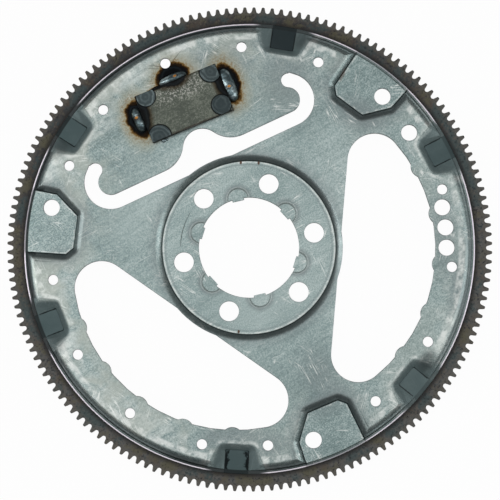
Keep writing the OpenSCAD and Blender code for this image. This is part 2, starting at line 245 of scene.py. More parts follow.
class Graph:
    """The nodes of one material."""

    def __init__(self, name: str) -> None:
        """Makes an empty material of that name."""
        self.material = bpy.data.materials.new(name)
        self.material.use_nodes = True
        self.tree = self.material.node_tree
        self.tree.nodes.clear()
        place = self.node("ShaderNodeTexCoord").outputs["Object"]
        scaled = self.node(
            "ShaderNodeVectorMath", {"operation": "SCALE"}, {0: place, "Scale": 1 / MM}
        )
        self.place = scaled.outputs[0]
        split = self.node("ShaderNodeSeparateXYZ", {}, {0: self.place})
        self.x, self.y, self.z = (Num(self, out) for out in split.outputs)

    def node(
        self,
        kind: str,
        settings: dict[str, Any] | None = None,
        sockets: dict[Any, Any] | None = None,
    ) -> bpy.types.Node:
        """Adds one node.

        Args:
            kind: The node's type name.
            settings: Its own settings, and "stops" for a ramp's positions and colours.
            sockets: Values or links of its input sockets, by name or number.

        Returns:
            The new node.
        """
        made = self.tree.nodes.new(kind)
        for key, value in (settings or {}).items():
            if key == "stops":
                self._set_stops(made.color_ramp, value)
            else:
                setattr(made, key, value)
        for key, value in (sockets or {}).items():
            self.join(made.inputs[key], value)
        return made

    @staticmethod
    def _set_stops(ramp: bpy.types.ColorRamp, stops: Stops) -> None:
        """Gives a ramp its stops."""
        while len(ramp.elements) < len(stops):
            ramp.elements.new(1.0)
        for element, (position, colour) in zip(ramp.elements, stops):
            element.position = position
            element.color = (*colour, 1.0)

    def join(self, socket: bpy.types.NodeSocket, value: Any) -> None:
        """Links a value to an input socket, or sets it there."""
        if isinstance(value, Num):
            value = value.socket
        if isinstance(value, bpy.types.NodeSocket):
            self.tree.links.new(value, socket)
        elif isinstance(value, tuple) and socket.type == "RGBA":
            socket.default_value = (*value, 1.0)
        else:
            socket.default_value = value

    def math(self, operation: Op, *values: Value) -> Num:
        """One Math node on the values."""
        node = self.node(
            "ShaderNodeMath", {"operation": operation.value}, dict(enumerate(values))
        )
        return Num(self, node.outputs[0])

    def mix(self, factor: Value, low: Any, high: Any) -> bpy.types.NodeSocket:
        """Mixes two colours.

        Args:
            factor: Share of the second colour.
            low: First colour or colour socket.
            high: Second colour or colour socket.

        Returns:
            The colour socket of the mixture.
        """
        sockets = {MIX_FACTOR: factor, MIX_LOW: low, MIX_HIGH: high}
        return self.node("ShaderNodeMix", {"data_type": "RGBA"}, sockets).outputs[MIX_RESULT]

    def colours(self, factor: Num, stops: Stops) -> bpy.types.NodeSocket:
        """A ramp of colours read at a value."""
        return self.node("ShaderNodeValToRGB", {"stops": stops}, {0: factor}).outputs[0]

    def noise(self, recipe: Noise) -> Num:
        """Cloudy noise made to a recipe, about 0.5 on average."""
        streaked = recipe.longer != 1.0 or recipe.shift != 0.0
        sockets = {
            "Vector": self.turned(recipe) if streaked else self.place,
            "Scale": 1 / recipe.size,
            "Detail": recipe.detail,
            "Roughness": recipe.rough,
            "Distortion": recipe.warp,
        }
        return Num(self, self.node("ShaderNodeTexNoise", {}, sockets).outputs[0])

    def patches(self, recipe: Noise) -> Num:
        """Mask of the places where a noise is high."""
        return self.noise(recipe).ramp(*recipe.rise)

    def turned(self, recipe: Noise) -> bpy.types.NodeSocket:
        """The surface point in a recipe's turned and stretched directions."""
        sockets = {
            "Vector": self.place,
            "Location": (recipe.shift, recipe.shift, recipe.shift),
            "Rotation": (0.0, 0.0, math.radians(recipe.turn)),
            "Scale": (recipe.longer, 1.0, 1.0),
        }
        return self.node("ShaderNodeMapping", {"vector_type": "TEXTURE"}, sockets).outputs[0]

    def radius(self) -> Num:
        """Distance from the part's axis."""
        return (self.x * self.x + self.y * self.y) ** 0.5

    def towards(self, degrees: float) -> Num:
        """Distance from the axis towards a level direction."""
        turn = math.radians(degrees)
        return self.x * math.cos(turn) + self.y * math.sin(turn)

    def height_of(self, normal: str) -> Num:
        """Height of a normal of the surface without its sign: 1 on level faces."""
        socket = self.node("ShaderNodeNewGeometry").outputs[normal]
        split = self.node("ShaderNodeSeparateXYZ", {}, {0: socket})
        return abs(Num(self, split.outputs[2]))

    def upright(self) -> Num:
        """Mask of faces that stand upright, such as cut edges."""
        return self.height_of("True Normal").fade(*UPRIGHT_RISE)

    def slope(self) -> Num:
        """How far the smooth surface leans from level: 0 when level, 1 when upright."""
        return 1 - self.height_of("Normal")

    def facing(self, degrees: float) -> Num:
        """How far the smooth surface leans towards a level direction, from -1 to 1."""
        turn = math.radians(degrees)
        normal = self.node("ShaderNodeNewGeometry").outputs["Normal"]
        side = self.node(
            "ShaderNodeVectorMath",
            {"operation": "DOT_PRODUCT"},
            {0: normal, 1: (math.cos(turn), math.sin(turn), 0.0)},
        )
        return Num(self, side.outputs["Value"])

    def ellipse(self, spot: Spot) -> Num:
        """Distance from a spot's middle: 0 there, and 1 on the spot's outline."""
        turn = math.radians(spot.turn)
        dx, dy = self.x - spot.x, self.y - spot.y
        along = (dx * math.cos(turn) + dy * math.sin(turn)) / spot.long
        across = (dy * math.cos(turn) - dx * math.sin(turn)) / spot.wide
        return (along * along + across * across) ** 0.5

    def spots(self, spots: tuple[Spot, ...], low: float, high: float) -> Num:
        """Soft marks of different strength, laid over each other.

        Args:
            spots: The marks.
            low: Share of the half length at which a mark starts to fade.
            high: Share at which it ends.

        Returns:
            The strength of the strongest mark at the point.
        """
        marks = [self.ellipse(spot).fade(low, high) * spot.strength for spot in spots]
        return reduce(Num.most, marks)


class Surface:
    """Layers of colour, roughness and metal that end in one shader."""

    def __init__(self, graph: Graph, colour: Any, bare: Metal, flecks: Num) -> None:
        """Starts with the bare metal."""
        self.graph = graph
        self.colour = colour
        self.rough: Value = bare.rough + flecks.swing(bare.rough_swing)
        self.metal: Value = bare.metal
        self.depth = bare.relief

    def layer(self, mask: Num, coat: Coat) -> None:
        """Lays one more layer on top.

        Args:
            mask: Where the layer lies, from 0 to 1.
            coat: The layer.
        """
        mask = mask * coat.strength
        self.colour = self.graph.mix(mask, self.colour, coat.colour)
        if coat.rough is not None:
            self.rough = self.rough + mask * (coat.rough - self.rough)
        if coat.metal is not None:
            self.metal = self.metal + mask * (coat.metal - self.metal)

    def close(self, height: Num) -> bpy.types.Material:
        """Ends the layers in a shader with a fine relief.

        Args:
            height: Relief, from 0 to 1 of the metal's depth.

        Returns:
            The finished material.
        """
        graph = self.graph
        relief = {"Height": height, "Strength": 1.0, "Distance": self.depth * MM}
        bump = graph.node("ShaderNodeBump", {}, relief)
        sockets = {
            "Base Color": self.colour,
            "Roughness": self.rough,
            "Metallic": self.metal,
            "Normal": bump.outputs[0],
        }
        shader = graph.node("ShaderNodeBsdfPrincipled", {}, sockets)
        out = graph.node("ShaderNodeOutputMaterial", {}, {"Surface": shader.outputs[0]})
        out.is_active_output = True
        return graph.material


def add_object(name: str, data: Any) -> bpy.types.Object:
    """Adds an object to the scene."""
    item = bpy.data.objects.new(name, data)
    bpy.context.scene.collection.objects.link(item)
    return item


def add_mesh(name: str, mesh: bmesh.types.BMesh) -> bpy.types.Object:
    """Adds an object made from a bmesh, and frees the bmesh."""
    data = bpy.data.meshes.new(name)
    mesh.to_mesh(data)
    mesh.free()
    return add_object(name, data)


class Piece:
    """A mesh piece of the part that rides on the frame."""

    SLIVER: float = 0.002
    LEVEL_WITHIN: float = 0.1
    EDGE_SEGMENTS: int = 2
    FLAT_WEIGHT: int = 90

    def __init__(self, name: str, slot: str, mesh: bmesh.types.BMesh) -> None:
        """Makes the object from a bmesh and frees the bmesh."""
        self.item = add_mesh(name, mesh)
        self.slot = slot

    @classmethod
    def from_node(cls, node: bpy.types.Object, name: str, slot: str, join: float) -> Piece:
        """A copy of a CAD node, with its loose triangles joined.

        Args:
            node: The CAD node's object.
            name: Name of the copy.
            slot: Material slot of the record.
            join: Distance within which corners become one.

        Returns:
            The new piece.
        """
        mesh = bmesh.new()
        mesh.from_mesh(node.data)
        bmesh.ops.remove_doubles(mesh, verts=mesh.verts, dist=join * MM)
        bmesh.ops.dissolve_degenerate(mesh, dist=cls.SLIVER * MM, edges=mesh.edges)
        return cls(name, slot, mesh)

    def smooth(self, angle: float) -> Piece:
        """Shades smoothly, with edges sharper than the angle left crisp."""
        self.item.data.shade_smooth()
        self.item.data.set_sharp_from_angle(angle=math.radians(angle))
        return self

    def crisp_creases(self, angle: float) -> Piece:
        """Keeps level inner creases that bend more than the angle crisp."""
        mesh = bmesh.new()
        mesh.from_mesh(self.item.data)
        for edge in mesh.edges:
            start, end = edge.verts
            level = abs(start.co.z - end.co.z) < self.LEVEL_WITHIN * MM
            if level and edge.is_manifold and edge.calc_face_angle_signed() < -math.radians(angle):
                edge.smooth = False
        mesh.to_mesh(self.item.data)
        mesh.free()
        return self

    def ease_edges(self, width: float, angle: float) -> Piece:
        """Breaks edges sharper than an angle.

        Args:
            width: Width of the broken edge.
            angle: Smallest angle between faces.

        Returns:
            The same piece.
        """
        ease = self.item.modifiers.new("eased_edges", "BEVEL")
        ease.limit_method = "ANGLE"
        ease.angle_limit = math.radians(angle)
        ease.width = width * MM
        ease.segments = self.EDGE_SEGMENTS
        ease.use_clamp_overlap = False
        return self

    def weigh_normals(self) -> Piece:
        """Lets large flat faces keep flat shading beside rolled ones."""
        weigh = self.item.modifiers.new("flat_faces", "WEIGHTED_NORMAL")
        weigh.keep_sharp = True
        weigh.weight = self.FLAT_WEIGHT
        return self

    def finish(self, material: bpy.types.Material, *replaced: str) -> Piece:
        """Gives the piece its material and its place in the part.

        Args:
            material: Material for all its faces.
            replaced: CAD nodes that it stands for.

        Returns:
            The same piece.
        """
        self.item.data.materials.clear()
        self.item.data.materials.append(material)
        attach(self.item, BODY)
        if replaced:
            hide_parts(*replaced)
        LOG.info("piece %s: %d faces", self.item.name, len(self.item.data.polygons))
        return self


@dataclass(frozen=True)
class SteelFinish:
    """Bare stamped steel, what wear and drawing leave on it, and painted shade, light and
    highlights.
    """

    bare: Metal = Metal(0.36, 0.3, 0.9, 0.07)
    dark: Colour = (0.178, 0.244, 0.243)
    middle: Colour = (0.303, 0.388, 0.382)
    light: Colour = (0.495, 0.58, 0.568)
    pale: Colour = (0.80, 0.83, 0.80)
    shade: Colour = (0.20, 0.235, 0.24)
    # Near-black grime and soot, also used for painted shade on the rolls and the flange.
    grime_and_shade: Colour = (0.020, 0.026, 0.027)
    stops: Stops = ((0.2, dark), (0.5, middle), (0.8, light))
    grain_relief: float = 0.6
    clouds: Noise = Noise(58.0)
    flecks: Noise = Noise(4.0, 5.0, 0.65)
    grain: Noise = Noise(1.0, 2.0, 0.7)
    smears: Noise = Noise(3.0, 4.0, 0.6, turn=-12.0, longer=12.0, shift=11.0)
    tone: float = 0.485
    cloud_tone: float = 0.6
    fleck_tone: float = 0.3
    grain_tone: float = 1.5
    smear_tone: float = 0.5
    inner_mottle: float = 0.75
    hub_tone: float = 0.05
    wear: Noise = Noise(24.0, 3.0, 0.55, warp=0.4, rise=(0.36, 0.60))
    scuffs: Noise = Noise(6.0, 8.0, 0.8, warp=0.8, rise=(0.50, 0.72))
    highlight_patches: Noise = Noise(9.0, 4.0, 0.65, rise=(0.40, 0.62))
    sheen_streaks: Span = (0.34, 0.62)
    fleck_share: Span = (0.7, 1.3)
    shade_cover: float = 1.2
    strokes: Noise = Noise(2.0, 1.0, 0.4, longer=18.0)
    stroke_line: Stripe = (0.5, 0.010, 0.015)
    stroke_places: Noise = Noise(16.0, 3.0, 0.6, longer=1.5, rise=(0.585, 0.68))
    place_shift: float = 3.0
    stroke_turns: tuple[tuple[float, float], ...] = (
        (-12.0, 3.0), (32.0, 17.0), (75.0, 29.0), (105.0, 41.0), (140.0, 60.0)
    )
    # Painted shade, for darker patches of the web and round the bore's tabs.
    painted_shade: Coat = Coat(shade, 0.34)
    # Painted light, for lighter patches.
    painted_light: Coat = Coat(light)
    # Painted highlight, for bright streaky patches.
    painted_sheen: Coat = Coat((0.66, 0.71, 0.68), 0.3)
    # Warm wear and pale scuffs, laid stronger towards one side as painted light.
    warm: Coat = Coat((0.47, 0.505, 0.455), 0.38)
    scuff_and_sheen: Coat = Coat(pale, 0.26)
    # Painted highlight on the shoulders of the rolls.
    shoulder_highlight: Coat = Coat(pale, 0.3, strength=0.7)
    scratch: Coat = Coat(pale, 0.28, strength=0.75)
    # Painted shade on the drawn rolls.
    painted_roll_shade: Coat = Coat(shade, 0.3)
    # Painted highlight on the edges of the bore's tabs.
    tab_edge: Coat = Coat(light, 0.5, 0.2, 0.8)
    # Painted shade on the rim's roll.
    roll: Coat = Coat(grime_and_shade, 0.35)
    # Painted highlights on burnished metal just inside the pad and hub creases.
    pad_edge: Coat = Coat(pale, 0.3, strength=0.5)
    hub_edge: Coat = Coat(pale, 0.3)
    hub_inner: Coat = Coat(shade, 0.34, strength=0.45)
    # Dark crease lines: grime and painted shade.
    crease: Coat = Coat(grime_and_shade, 0.6)
    smoke: Coat = Coat(grime_and_shade, 0.5)
    # Painted shade on the flange.
    flange: Coat = Coat(grime_and_shade, 0.4)
    # Painted highlight along the flange's outer edge.
    rim_line: Coat = Coat((0.80, 0.75, 0.82), 0.3)
    cut_edge: Coat = Coat((0.10, 0.12, 0.12), 0.5)


@dataclass(frozen=True)
class HeatFinish:
    """Colours that welding heat leaves on steel, from the seam outwards."""

    soot: Colour = (0.004, 0.005, 0.006)
    blued: Colour = (0.012, 0.016, 0.019)
    umber: Colour = (0.030, 0.016, 0.006)
    brown: Colour = (0.052, 0.037, 0.017)
    gold: Colour = (0.24, 0.14, 0.045)
    straw: Colour = (0.42, 0.38, 0.25)
    burnt: Stops = (
        (0.45, soot), (0.60, blued), (0.72, soot), (0.86, umber), (0.95, gold), (1.0, straw)
    )
    burnt_metal: float = 0.95
    clouds: Noise = Noise(14.0)
    seam_shake: Noise = Noise(2.5, 3.0, 0.6)
    speckles: Noise = Noise(1.6, 3.0, 0.65, rise=(0.44, 0.60))
    stain_shake: Noise = Noise(3.0, 3.0, 0.6)
    # Dark ramps of the lands: heat tint and painted shade.
    ramp: Coat = Coat((0.140, 0.195, 0.198), 0.5, 0.2)
    land: Coat = Coat((0.066, 0.096, 0.099), 0.38, 0.9)
    dark_land: Coat = Coat(blued, 0.4, strength=0.75)
    stripe: Coat = Coat(soot, 0.6, strength=0.9)
    halo: Coat = Coat(straw, 0.45, strength=0.5)
    speckle: Coat = Coat(gold, 0.45, strength=0.75)
    seam: Coat = Coat(umber, 0.5, strength=0.25)
    bar_seam: Coat = Coat(umber, 0.5, strength=0.6)
    bar_brown: Coat = Coat(brown, 0.5, strength=0.7)
    rust: Coat = Coat((0.12, 0.045, 0.012), 0.7, 0.2)
    crater: Coat = Coat(umber, 0.5, strength=0.6)
    spark: Coat = Coat((0.62, 0.25, 0.03), 0.5, 0.3)

    def burn(self, near: Num, rough: float, strength: float = 1.0) -> Coat:
        """A burnt patch, from black at the bead to gold at its edge.

        Args:
            near: Distance from the patch's middle, 1 at its edge.
            rough: Its roughness.
            strength: Its strength.

        Returns:
            The layer.
        """
        colour = near.graph.colours(near, self.burnt)
        return Coat(colour, rough, self.burnt_metal, strength)


@dataclass(frozen=True)
class GearFinish:
    """Dark hardened gear steel with a thin film of rust."""

    bare: Metal = Metal(0.42, 0.3, 0.6, 0.08)
    face: Colour = (0.048, 0.046, 0.046)
    teeth: Colour = (0.120, 0.112, 0.098)
    shadow: Colour = (0.012, 0.011, 0.011)
    clouds: Noise = Noise(14.0, 5.0, 0.65)
    flecks: Noise = Noise(2.0, 4.0, 0.7)
    grain: Noise = Noise(0.9, 2.0, 0.6)
    tints: Noise = Noise(22.0, 4.0, 0.6, shift=80.0)
    pale_flecks: Span = (-0.6, 1.6)
    rust_rise: Span = (0.46, 0.66)
    olive_rise: Span = (0.52, 0.62)
    teal_fade: Span = (0.40, 0.52)
    worn_rise: Span = (0.55, 0.68)
    pit_fade: Span = (0.34, 0.46)
    # Pale flecks, laid stronger on the lit side of the gear as painted light.
    pale: Coat = Coat((0.152, 0.152, 0.144))
    rust: Coat = Coat((0.100, 0.068, 0.042), 0.55, 0.4, 0.5)
    olive: Coat = Coat((0.105, 0.098, 0.055), strength=0.7)
    teal: Coat = Coat((0.050, 0.080, 0.082), strength=0.75)
    worn_teeth: Coat = Coat(teeth, strength=0.7)
    worn: Coat = Coat(teeth, strength=0.75)
    pit: Coat = Coat(shadow, strength=0.7)
    under_rim: Coat = Coat(shadow, strength=0.8)


@dataclass(frozen=True)
class WeightFinish:
    """Grey scaled steel of the balance weight, with four pressed electrode marks."""

    bare: Metal = Metal(0.42, 0.25, 0.7, 0.09)
    scale: Colour = (0.088, 0.102, 0.084)
    mark: Colour = (0.028, 0.041, 0.044)
    ring: Colour = (0.200, 0.255, 0.260)
    mark_rough: float = 0.36
    mark_metal: float = 0.8
    clouds: Noise = Noise(18.0)
    flecks: Noise = Noise(1.6, 4.0, 0.65)
    grain: Noise = Noise(0.8, 2.0, 0.6)
    streaks: Noise = Noise(1.0, 3.0, 0.6, turn=-20.0, longer=5.0, shift=9.0)
    soot_shake: Noise = Noise(6.0, 4.0, 0.6)
    worn_rise: Span = (0.40, 0.64)
    speck_rise: Span = (0.54, 0.68)
    speck_share: Span = (0.08, 0.78)
    worn: Coat = Coat((0.182, 0.205, 0.165), 0.4, strength=0.8)
    speck: Coat = Coat((0.52, 0.52, 0.48), 0.35)
    edge: Coat = Coat((0.035, 0.033, 0.028), 0.6)


@dataclass(frozen=True)
class BeadFinish:
    """Blue-grey weld metal with painted highlights in bright patches, and black slag."""

    bare: Metal = Metal(0.34, 0.2, 0.85, 0.03)
    base: Colour = (0.13, 0.185, 0.20)
    flecks: Noise = Noise(2.2, 3.0, 0.55)
    clouds: Noise = Noise(8.0, 2.0)
    grain: Noise = Noise(0.7, 2.0)
    crest_highlight_rise: Span = (0.48, 0.66)
    slag_fade: Span = (0.34, 0.46)
    # Painted highlight in bright patches.
    crest_highlight: Coat = Coat((0.50, 0.62, 0.64), 0.3, strength=0.75)
    slag: Coat = Coat((0.045, 0.060, 0.064), 0.45, 0.6, 0.8)


@dataclass(frozen=True)
class Tongue:
    """Place of the balance weight on the plate's tongue, as in the solids."""

    axis: float = 72.3
    out: float = 113.75
    shift: float = -1.6
    turn: float = -2.7
    web: float = 17.5
    length: float = 63.0
    width: float = 36.0
    thick: float = 6.0

    def matrix(self) -> Matrix:
        """Places a shape in millimetres, drawn with +X to the rim and z = 0 on the web."""
        place = Matrix.Rotation(math.radians(self.axis), 4, "Z")
        place @= Matrix.Translation((self.out, self.shift, self.web))
        place @= Matrix.Rotation(math.radians(self.turn), 4, "Z")
        return Matrix.Scale(MM, 4) @ place

    def spot(
        self, along_rim: float, out: float, long: float, wide: float, turn: float = 0.0
    ) -> Spot:
        """A mark placed on the weight or beside it.

        Args:
            along_rim: Distance from the weight's middle along its length.
            out: Distance from its middle towards the rim.
            long: Half length of the mark.
            wide: Half width of the mark.
            turn: Turn of its long side from the weight's length.

        Returns:
            The spot in the part's frame.
        """
        place = self.matrix() @ Vector((out, along_rim, 0.0)) / MM
        return Spot(place.x, place.y, long, wide, self.axis + self.turn + 90.0 + turn)

    def edge_distance(self, graph: Graph) -> Num:
        """Distance in from the weight's nearest edge, negative beside the weight."""
        turn = math.radians(self.axis + self.turn)
        middle = self.spot(0.0, 0.0, 1.0, 1.0)
        dx, dy = graph.x - middle.x, graph.y - middle.y
        across = self.width / 2 - abs(dx * math.cos(turn) + dy * math.sin(turn))
        along = self.length / 2 - abs(dy * math.cos(turn) - dx * math.sin(turn))
        return across.least(along)

    def soot(self, graph: Graph, lobes: Noise, shake: float) -> Num:
        """Distance from the nearest weld bead's burnt patch.

        Args:
            graph: The material's graph.
            lobes: Noise of the ragged edge's lobes.
            shake: How ragged the edge is.

        Returns:
            0 at a patch's middle and about 1 at its golden edge.
        """
        half, wide = self.length / 2, self.width / 2
        patches = (
            self.spot(half + 3.0, 2.6, 15.2, 9.8, 86.0),
            self.spot(0.4, wide + 4.3, 13.4, 10.0),
            self.spot(13.0, wide, 8.0, 2.0),
            self.spot(-half - 3.2, 2.2, 16.4, 9.8, 90.0),
        )
        near = reduce(Num.least, [graph.ellipse(patch) for patch in patches])
        return near + graph.noise(lobes).swing(shake)


TONGUE = Tongue()


@dataclass
class PlatePoint:
    """What the layers of the plate's finish share, read at a point of its surface."""

    graph: Graph
    sheet: Surface
    radius: Num
    pad: Num
    land: Num
    crease: Num
    flecks: Num
    on_web: Num


@dataclass
class StampedPlate:
    """The stamped plate: one sheet with its pads, lands, hub and rim."""

    steel: SteelFinish = SteelFinish()
    heat: HeatFinish = HeatFinish()
    # How the mesh is finished.
    join: float = 0.07
    smooth_angle: float = 32.0
    crease_angle: float = 14.0
    edge_break: float = 0.3
    edge_angle: float = 74.0
    # Drawn forms, as in the solids.
    pad_angle: float = 5.8
    sector: float = 120.0
    fold_start: float = -53.5
    converter_r: float = 146.07
    pad_corners: tuple[tuple[float, float], ...] = (
        (25.0, 36.5), (-17.0, 31.0), (-21.5, 25.5), (-19.6, 2.2), (-2.0, -10.0), (25.0, -10.0)
    )
    land_angles: tuple[float, float] = (-21.8, 32.2)
    land_half: float = 8.3
    land_in: float = 146.0
    land_end: float = 171.3
    land_spread_in: float = 4.8
    land_spread_out: float = 18.0
    land_corner: float = 3.0
    land_line_in: float = 147.0
    land_line_out: float = 158.5
    hub_r: float = 62.55
    rim_r: float = 160.5
    plate_r: float = 163.0
    web: float = 17.5
    bore_r: float = 36.25
    tab_r: float = 7.2
    tab_sector: float = 60.0
    # Where the sheet is worn, lit, grainy and scuffed: directions, distances and heights.
    # Direction and spans of the painted light on the warm wear and the scuffs.
    brighter_side: float = 120.0
    worn_rise: Span = (-70.0, 90.0)
    worn_out: Span = (90.0, 140.0)
    lit_side: float = -42.7
    lit_rise: Span = (-20.0, 130.0)
    lit_lean: Span = (0.08, 0.35)
    grainy_out: Span = (100.0, 130.0)
    hub_near: Span = (66.0, 110.0)
    web_below: Span = (-0.9, -0.25)
    mark_fade: Span = (0.2, 1.1)
    sheen_fade: Span = (0.3, 1.2)
    rim_scuff: Stripe = (150.0, 4.0, 9.0)
    pad_scuff: Stripe = (12.0, 4.0, 6.0)
    land_scuff: Stripe = (1.45, 0.4, 0.9)
    form_out: Span = (108.0, 130.0)
    scuff_least: float = 0.08
    rim_shoulder: Stripe = (153.0, 1.2, 2.0)
    land_shoulder: Stripe = (1.25, 0.08, 0.4)
    shoulder_out: Span = (134.0, 144.0)
    off_land: Span = (1.0, 1.08)
    off_pad: Span = (8.0, 10.0)
    # Painted shade on the drawn rolls and lines in their creases: distances from the crease.
    crease_rise: Span = (-0.1, 0.3)
    hub_roll: Span = (1.0, 14.0)
    pad_roll: Span = (0.5, 15.0)
    land_rim: Span = (0.95, 1.05)
    pads_out: Span = (110.0, 125.0)
    shade_lean: Span = (0.01, 0.25)
    shade_out: Span = (56.0, 60.0)
    roll_lean: Span = (0.05, 0.35)
    roll_out: Span = (153.0, 155.0)
    tab_rise: Span = (0.3, 1.0)
    tab_fade: Span = (0.8, 5.0)
    tab_line: Stripe = (0.5, 0.6, 0.6)
    pad_line: Stripe = (0.35, 0.2, 0.4)
    pad_edge: Stripe = (-0.8, 0.2, 0.4)
    pad_line_out: Span = (120.0, 122.0)
    pad_line_end: Span = (0.5, 1.0)
    hub_line: Stripe = (0.35, 0.2, 0.5)
    hub_edge: Stripe = (-0.7, 0.3, 0.5)
    hub_inner: Stripe = (-2.4, 0.2, 0.7)
    wobble: float = 0.8
    nick: Spot = Spot(-25.6, 42.1, 15.0, 5.0, 31.3)
    nick_line: Stripe = (49.4, 0.1, 0.3)
    # Flange and rim: distances from the rim, and heights.
    flange_in: Span = (-0.8, 0.0)
    flange_top: Span = (13.4, 14.6)
    rim_line: Stripe = (-0.55, 0.25, 0.35)
    rim_top: Span = (12.0, 12.3)
    # Heat and painted shade on the lands, and heat round the weight: shares of a land's ramp, and
    # of a burnt patch.
    burn_r: float = 30.0
    mark_r: float = 13.0
    burn_fade: Span = (0.8, 1.0)
    stripe_fade: Span = (0.7, 0.9)
    dark_land: float = 38.0
    striped_land: float = 224.0
    pocket_fade: Span = (0.5, 1.25)
    floor_fade: Span = (0.01, 0.06)
    dark_fade: Span = (0.02, 0.08)
    soot_shake: Noise = Noise(5.0, 4.0, 0.6)
    halo_fade: Span = (0.95, 1.9)
    speckle_fade: Span = (0.95, 1.45)
    burnt_fade: Span = (0.92, 1.12)
    seam_rise: Span = (-0.9, 0.0)
    stain: Spot = Spot(135.4, 46.2, 5.2, 1.5, 29.0, 0.4)
    stain_fade: Span = (0.6, 1.1)
    dot_fade: Span = (0.5, 1.0)
    rust_dots: tuple[Spot, ...] = (
        Spot(37.4, 49.2, 1.6, 1.1, 45.0, 0.9),
        Spot(46.7, 40.2, 1.6, 1.1, 45.0, 0.9),
        Spot(-46.6, -39.6, 1.6, 1.1, 45.0, 0.9),
    )
    # Painted shade: darker patches of the web beside the pads, lands and weight.
    painted_shade: tuple[Spot, ...] = (
        Spot(124.0, 16.0, 28.0, 17.0, -60.0, 0.65),
        Spot(-24.0, -104.0, 30.0, 20.0, 75.0, 0.42),
        Spot(-32.0, -119.0, 24.0, 14.0, -10.0, 0.45),
        Spot(109.0, -89.0, 46.0, 15.0, 51.0, 0.48),
        Spot(105.0, 72.0, 44.0, 27.0, 60.0, 0.50),
        Spot(-111.0, -85.0, 15.0, 12.0, -53.0, 0.48),
        Spot(-86.0, -114.0, 16.0, 13.0, -37.0, 0.52),
        Spot(-78.0, 92.0, 22.0, 9.0, 47.0, 0.40),
        Spot(-103.0, 88.0, 18.0, 9.0, -40.0, 0.35),
        Spot(131.0, 82.0, 18.0, 12.0, -57.0, 0.60),
        Spot(68.0, 122.0, 26.0, 14.0, -25.0, 0.45),
        Spot(84.0, 106.0, 22.0, 14.0, -60.0, 0.40),
        Spot(-97.0, -95.0, 32.0, 16.0, 134.0, 0.50),
        Spot(95.0, -121.0, 58.0, 10.0, 38.0, 0.60),
        Spot(70.0, 93.5, 20.0, 12.0, 53.0, 0.40),
        Spot(106.0, 106.0, 22.0, 9.0, -45.0, 0.40),
    )
    # Painted highlights: bright streaky patches where the web catches the light.
    painted_sheen: tuple[Spot, ...] = (
        Spot(30.0, 94.0, 19.0, 3.0, -20.0, 0.8),
        Spot(22.0, 148.0, 34.0, 7.0, -8.0, 0.6),
        Spot(-66.0, 140.0, 20.0, 10.0, 25.0, 0.7),
        Spot(150.0, -32.0, 13.0, 8.0, 80.0, 0.6),
        Spot(8.0, -146.0, 12.0, 7.0, 10.0, 0.7),
        Spot(62.0, -143.0, 22.0, 7.0, 23.0, 0.6),
        Spot(-62.0, -121.0, 18.0, 6.0, 60.0, 0.6),
        Spot(-144.0, 38.0, 12.0, 10.0, 0.0, 0.8),
        Spot(-122.0, 71.0, 12.0, 10.0, 0.0, 0.5),
        Spot(-140.0, -38.0, 42.0, 10.0, -75.0, 0.5),
        Spot(-18.0, 136.0, 16.0, 10.0, 10.0, 0.5),
    )
    # Painted light: lighter patches on the hub's lower half and the left spoke.
    painted_light: tuple[Spot, ...] = (
        Spot(-26.0, -33.0, 46.0, 26.0, -39.0, 0.30),
        Spot(-46.0, 76.0, 36.0, 24.0, 31.0, 0.25),
    )
    sooty: tuple[Spot, ...] = (
        Spot(38.5, -146.7, 11.0, 8.0, 15.0, 0.60),
        Spot(-149.0, 43.0, 9.0, 8.0, 74.0, 0.35),
        Spot(-51.0, 146.0, 11.0, 8.0, 19.0, 0.40),
        Spot(130.0, 85.0, 10.0, 8.0, -57.0, 0.35),
    )
    # Places of the rim counted as lit, where painted shade is lighter.
    pale_rim: tuple[Spot, ...] = (Spot(-156.0, -19.0, 66.0, 18.0, 97.0, 0.6),)
    land_burns: tuple[tuple[float, float], ...] = (
        (38.0, 1.0), (104.0, 1.0), (158.0, 0.92), (224.0, 1.0), (278.0, 0.62), (-16.0, 0.94)
    )

    def build(self, node: bpy.types.Object) -> Piece:
        """Makes the plate's piece from its CAD node."""
        piece = Piece.from_node(node, "plate_stamping", "plate_steel", self.join)
        piece.smooth(self.smooth_angle).crisp_creases(self.crease_angle)
        piece.ease_edges(self.edge_break, self.edge_angle).weigh_normals()
        return piece.finish(self.material(), "stamped_plate")

    @staticmethod
    def folded(
        graph: Graph, radius: Num, first: float, start: float, sector: float
    ) -> tuple[Num, Num]:
        """Coordinates folded into one sector of a pattern round the axis.

        Args:
            graph: The material's graph.
            radius: Distance from the axis.
            first: Angle of the first copy.
            start: Where its sector starts, counted from that angle.
            sector: Angle of a sector.

        Returns:
            Outward and anticlockwise coordinates, with the copy on the first axis.
        """
        turned = graph.math(Op.ANGLE, graph.y, graph.x) - math.radians(first + start)
        angle = graph.math(Op.REMAINDER, turned, math.radians(sector)) + math.radians(start)
        return radius * graph.math(Op.COSINE, angle), radius * graph.math(Op.SINE, angle)

    def pad_distance(self, out: Num, side: Num) -> Num:
        """Distance from a pad's crease: negative on the pad, positive outside it."""
        sides = []
        for (ax, ay), (bx, by) in zip(self.pad_corners, self.pad_corners[1:]):
            span = math.hypot(bx - ax, by - ay)
            nx, ny = (by - ay) / span, (ax - bx) / span
            sides.append(out * nx + side * ny - (nx * (self.converter_r + ax) + ny * ay))
        return reduce(Num.most, sides)

